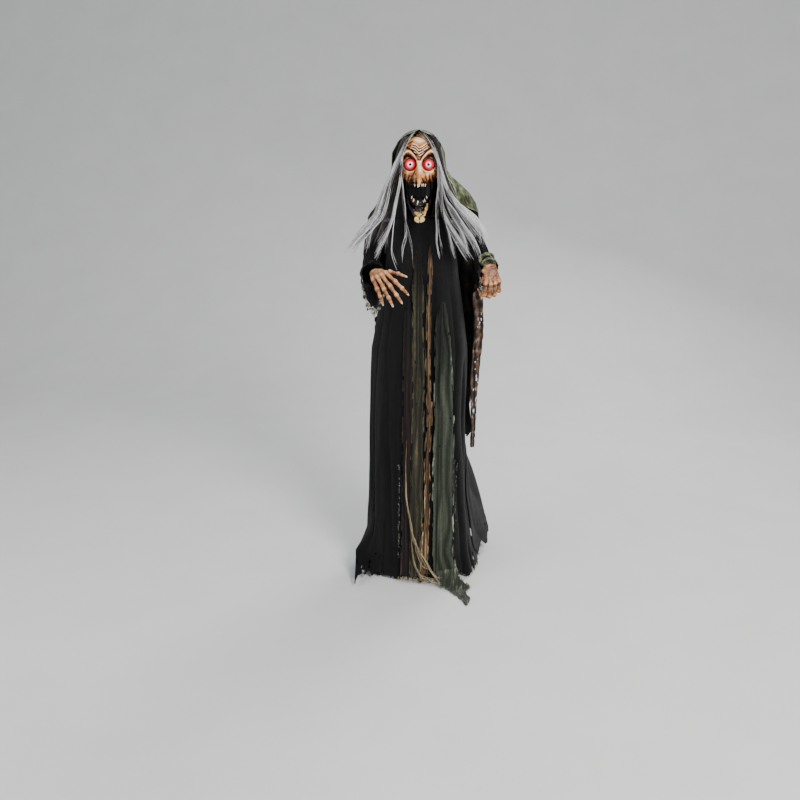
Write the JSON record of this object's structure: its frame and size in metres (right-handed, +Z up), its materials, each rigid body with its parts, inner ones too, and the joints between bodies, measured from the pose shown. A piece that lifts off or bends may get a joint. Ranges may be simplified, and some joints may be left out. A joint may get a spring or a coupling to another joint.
{
  "type": "animated witch figure",
  "caption": "Life-size standing witch figure on a hidden pole stand, with a motor-turned head, a motor-worked jaw, lit eyes, posable arms, long hair, and a hooded cape over a ragged robe.",
  "frame": {"origin": "on the floor at the axis of the pole", "axes": "+Z up, -Y the way that the figure faces, +X to the figure's left"},
  "size_m": [0.5325, 0.5924, 1.676],
  "materials": {
    "black_steel": "satin black powder coat",
    "bright_steel": "bright rolled steel",
    "black_plastic": "matt moulded",
    "cell_wrap": "printed wrap left plain",
    "circuit_green": "solder mask",
    "cable": "matt sheath",
    "white_gear": "moulded acetal",
    "skin": "painted skin with a dark wash",
    "eye": "glossy translucent dome",
    "tooth": "satin painted",
    "tongue": "satin",
    "hair": "straight fibre",
    "black_cloth": "thin black gauze cloth",
    "green_gauze": "mottled open-weave gauze",
    "olive_gauze": "open-weave gauze",
    "tan_gauze": "frayed open-weave gauze",
    "grey_gauze": "open-weave gauze"
  },
  "bodies": {
    "stand": {"base_spine": "black_steel", "base_bar_front": "black_steel", "base_bar_rear": "black_steel", "pole_lower": "bright_steel", "pole_middle": "bright_steel", "pole_upper": "bright_steel", "shoulder_bar": "bright_steel", "neck_motor": "bright_steel", "speaker": "bright_steel", "bar_cap_front_left": "black_plastic", "bar_cap_front_right": "black_plastic", "bar_cap_rear_left": "black_plastic", "bar_cap_rear_right": "black_plastic", "control_box_front": "black_plastic", "control_box_rear": "black_plastic", "shoulder_hub": "black_plastic", "neck_housing": "black_plastic", "neck_cover": "black_plastic", "battery_1": "cell_wrap", "battery_2": "cell_wrap", "battery_3": "cell_wrap", "circuit_board": "circuit_green", "wiring_harness": "cable", "robe": "black_cloth", "cape": "green_gauze", "panel_olive": "olive_gauze", "panel_tan": "tan_gauze", "side_strip": "tan_gauze", "panel_green": "grey_gauze"},
    "head": {"neck_sector_gear": "white_gear", "head_shaft": "bright_steel", "head_frame": "black_plastic", "face_mask": "skin", "eye_left": "eye", "eye_right": "eye", "eye_led_board": "circuit_green", "upper_teeth": "tooth", "jaw_pivot_pin": "bright_steel", "jaw_motor": "bright_steel", "hood": "green_gauze", "hair_left": "hair", "hair_right": "hair"},
    "neck_pinion": {"neck_pinion": "white_gear"},
    "jaw": {"jaw_shell": "skin", "lower_teeth": "tooth", "tongue": "tongue"},
    "jaw_pinion": {"jaw_pinion": "white_gear"},
    "arm_left": {"upper_arm_left": "black_steel", "sleeve_upper_left": "black_cloth"},
    "forearm_left": {"forearm_left": "black_steel", "hand_left": "skin", "sleeve_lower_left": "black_cloth"},
    "arm_right": {"upper_arm_right": "black_steel", "sleeve_upper_right": "black_cloth"},
    "forearm_right": {"forearm_right": "black_steel", "hand_right": "skin", "sleeve_lower_right": "black_cloth"},
    "battery_door": {"battery_door": "black_plastic"},
    "power_switch": {"power_switch_knob": "black_plastic"}
  },
  "joints": [
    {"name": "head_turn", "type": "hinge", "parent": "stand", "child": "head", "pos_m": [0, -0.06, 1.45], "axis": [0, 0, 1], "range_deg": [-28, 12], "deforming": ["hair_left", "hair_right"]},
    {"name": "neck_pinion_spin", "type": "hinge", "parent": "stand", "child": "neck_pinion", "pos_m": [0, -0.03, 1.44], "axis": [0, 0, 1], "range_deg": [-36, 84]},
    {"name": "jaw_close", "type": "hinge", "parent": "head", "child": "jaw", "pos_m": [-0.00111, -0.05208, 1.512], "axis": [-0.9903, -0.1392, 0], "range_deg": [0, 20]},
    {"name": "jaw_pinion_spin", "type": "hinge", "parent": "head", "child": "jaw_pinion", "pos_m": [-0.00348, -0.03527, 1.52897], "axis": [-0.9903, -0.1392, 0], "range_deg": [-60, 0]},
    {"name": "shoulder_left", "type": "hinge", "parent": "stand", "child": "arm_left", "pos_m": [0.168, 0, 1.368], "axis": [1, 0, 0], "range_deg": [-60, 10]},
    {"name": "elbow_left", "type": "hinge", "parent": "arm_left", "child": "forearm_left", "pos_m": [0.24, 0.015, 1.18], "axis": [-0.9094, -0.2009, -0.3643], "range_deg": [-40, 8]},
    {"name": "shoulder_right", "type": "hinge", "parent": "stand", "child": "arm_right", "pos_m": [-0.168, 0, 1.368], "axis": [1, 0, 0], "range_deg": [-60, 10]},
    {"name": "elbow_right", "type": "hinge", "parent": "arm_right", "child": "forearm_right", "pos_m": [-0.19, -0.005, 1.168], "axis": [-0.9594, -0.2589, 0.112], "range_deg": [-40, 10]},
    {"name": "battery_door_hinge", "type": "hinge", "parent": "stand", "child": "battery_door", "pos_m": [0, 0.0775, 1.004], "axis": [-1, 0, 0], "range_deg": [0, 100]},
    {"name": "power_switch_slide", "type": "slide", "parent": "stand", "child": "power_switch", "axis": [0, 0, 1], "range_m": [0, 0.01]}
  ],
  "couplings": [
    {"joint": "neck_pinion_spin", "follows": "head_turn", "ratio": -3},
    {"joint": "jaw_pinion_spin", "follows": "jaw_close", "ratio": -3}
  ]
}
